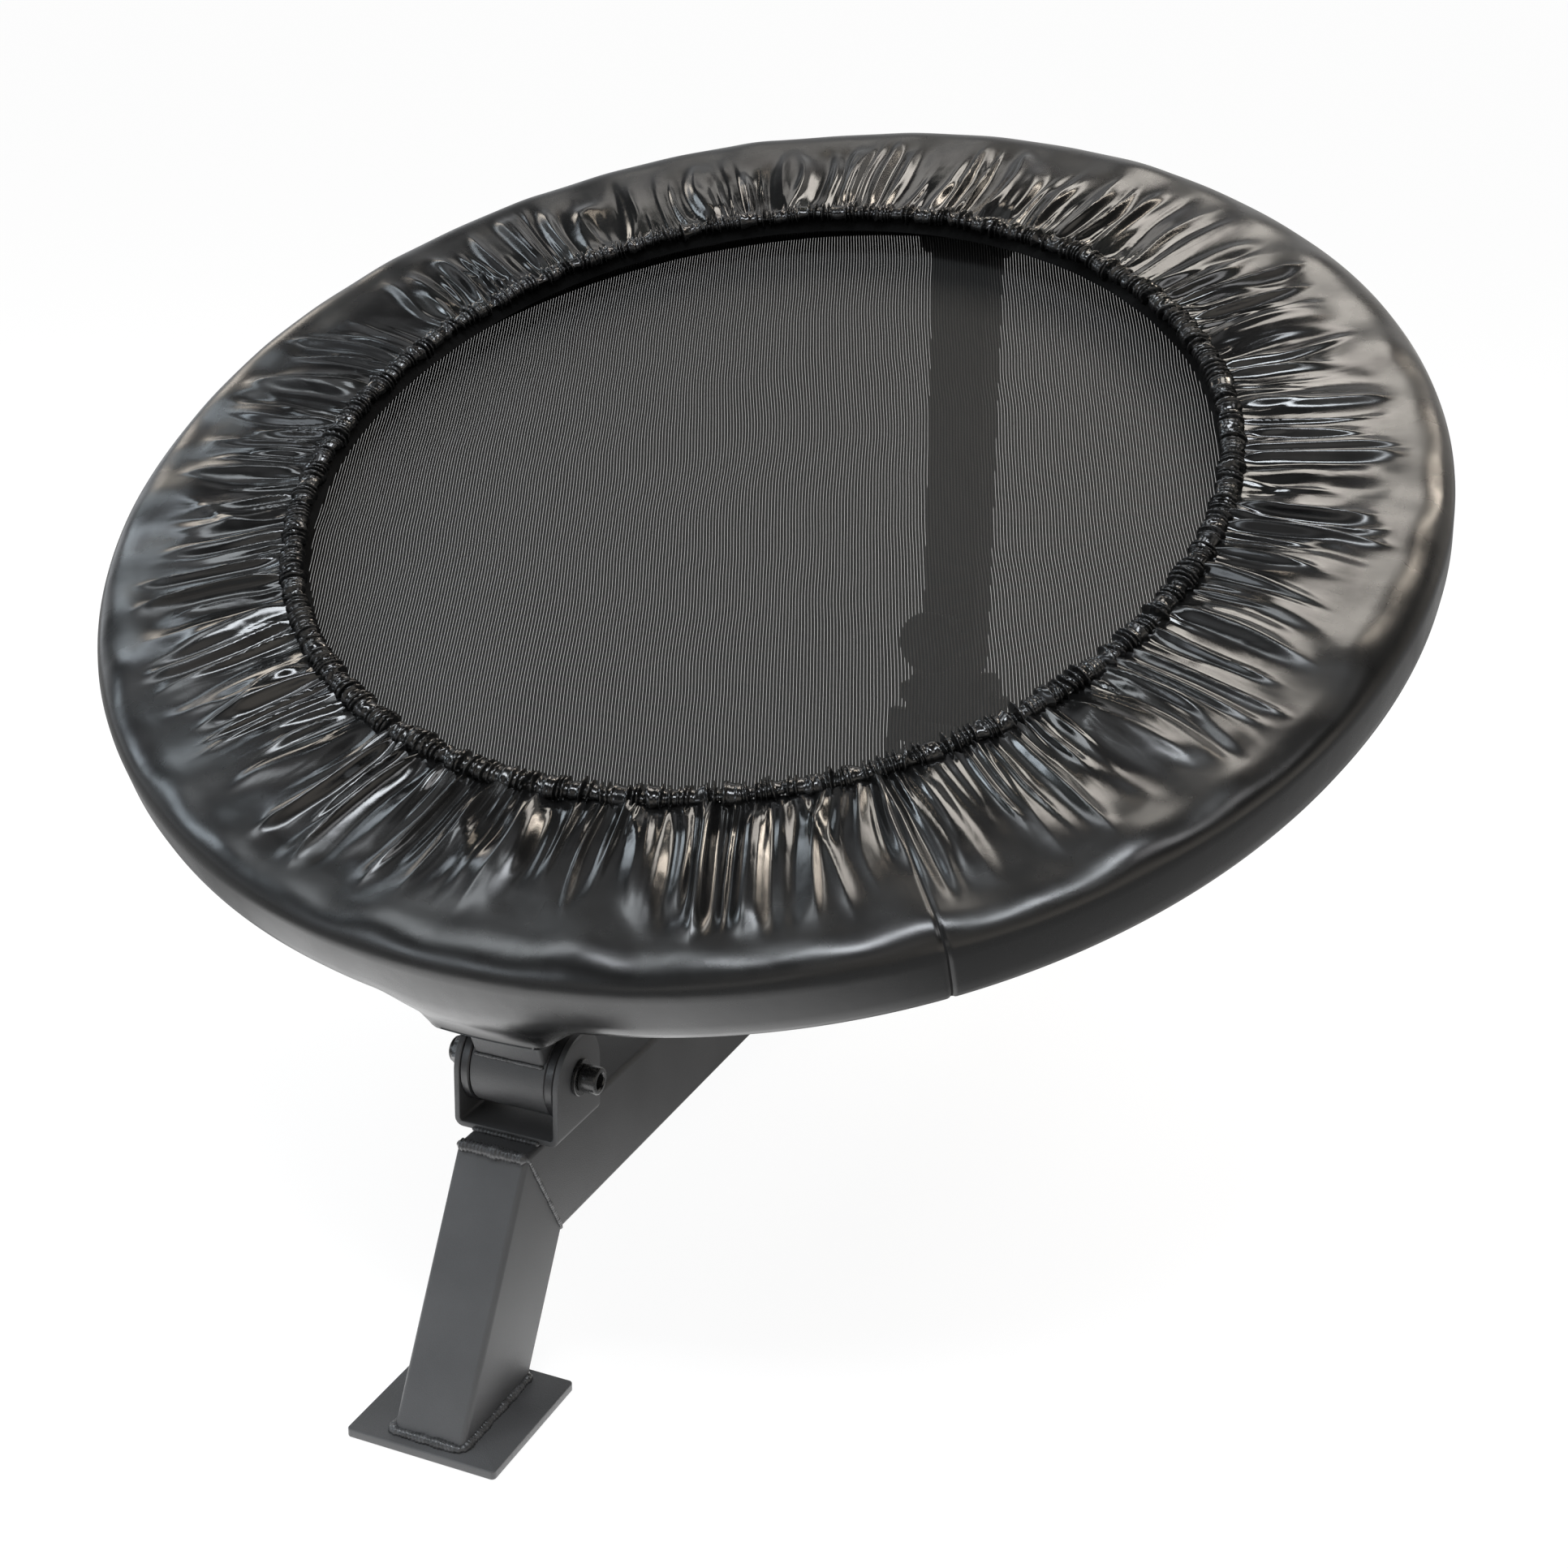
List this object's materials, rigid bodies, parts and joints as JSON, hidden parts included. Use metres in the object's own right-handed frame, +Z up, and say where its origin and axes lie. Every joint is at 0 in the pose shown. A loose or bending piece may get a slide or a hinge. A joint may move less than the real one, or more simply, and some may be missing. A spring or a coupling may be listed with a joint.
{
  "type": "medicine ball rebounder",
  "caption": "Tilting round trampoline on a welded steel frame, for throwing a weighted ball at its sprung mat and catching the rebound.",
  "frame": {"origin": "on the floor, at the middle of the foot plate underside", "axes": "+Z up, +Y from the foot towards the rear plate, +X to the right; the plane x = 0 halves the frame"},
  "size_m": [0.9718, 1.0399, 0.731],
  "materials": {
    "black_paint": "black powder coat, fine texture",
    "fastener": "black oxide",
    "nylon": "moulded, satin",
    "zinc": "zinc plated",
    "vinyl": "glossy gathered vinyl sheet",
    "foam": "closed-cell foam",
    "elastic": "covered elastic cord",
    "mat_mesh": "woven open mesh",
    "webbing": "doubled woven webbing with coil springs"
  },
  "bodies": {
    "base": {"foot_plate": "black_paint", "front_leg": "black_paint", "spine_tube": "black_paint", "rear_plate": "black_paint", "front_clevis": "black_paint", "rear_clevis": "black_paint", "front_bolt": "fastener", "front_washer_right": "fastener", "front_washer_left": "fastener", "front_nut": "fastener", "rear_bolt": "fastener", "rear_washer_right": "fastener", "rear_washer_left": "fastener", "rear_nut": "fastener"},
    "inner_post": {"inner_post": "black_paint", "lower_barrel": "black_paint", "lower_bush_right": "nylon", "lower_bush_left": "nylon"},
    "outer_post": {"outer_post": "black_paint", "glide_liner": "nylon", "upper_barrel": "black_paint", "upper_bush_right": "nylon", "upper_bush_left": "nylon", "pin_housing": "black_paint", "pin_spring": "zinc"},
    "pull_pin": {"locking_pin": "zinc", "pull_knob": "nylon"},
    "disc": {"ring_rear_half": "black_paint", "ring_front_half": "black_paint", "ring_sleeve_right": "black_paint", "ring_sleeve_left": "black_paint", "front_tongue": "black_paint", "front_barrel": "black_paint", "front_bush_right": "nylon", "front_bush_left": "nylon", "top_ear_right": "black_paint", "top_ear_left": "black_paint", "top_bolt": "fastener", "top_washer_right": "fastener", "top_washer_left": "fastener", "top_nut": "fastener", "elastic_cord": "elastic", "foam_pad": "foam", "cover": "vinyl"},
    "mat": {"mat": "mat_mesh", "webbing_and_springs": "webbing"}
  },
  "joints": [
    {"name": "frame_tilt", "type": "hinge", "parent": "base", "child": "disc", "pos_m": [0, 0.09009, 0.2043], "axis": [1, 0, 0], "range_deg": [0, 13.79]},
    {"name": "post_swing", "type": "hinge", "parent": "base", "child": "inner_post", "pos_m": [0, 0.93409, 0.2043], "axis": [1, 0, 0], "range_deg": [0, 10.58]},
    {"name": "post_slide", "type": "slide", "parent": "inner_post", "child": "outer_post", "axis": [0, -0.0725, 0.9974], "range_m": [0, 0.2001]},
    {"name": "pin_pull", "type": "slide", "parent": "outer_post", "child": "pull_pin", "axis": [0, -0.9974, -0.0725], "range_m": [-0.01, 0], "deforming": ["pin_spring"]},
    {"name": "mat_bounce", "type": "slide", "parent": "disc", "child": "mat", "axis": [0, -0.4365, 0.8997], "range_m": [-0.05, 0], "stiffness_N_per_m": 6000, "springref_m": 0.004, "deforming": ["webbing_and_springs"]}
  ],
  "couplings": [
    {"joint": "post_swing", "follows": "frame_tilt", "ratio": 0.7665},
    {"joint": "post_slide", "follows": "frame_tilt", "m_per_rad": 0.83117}
  ]
}
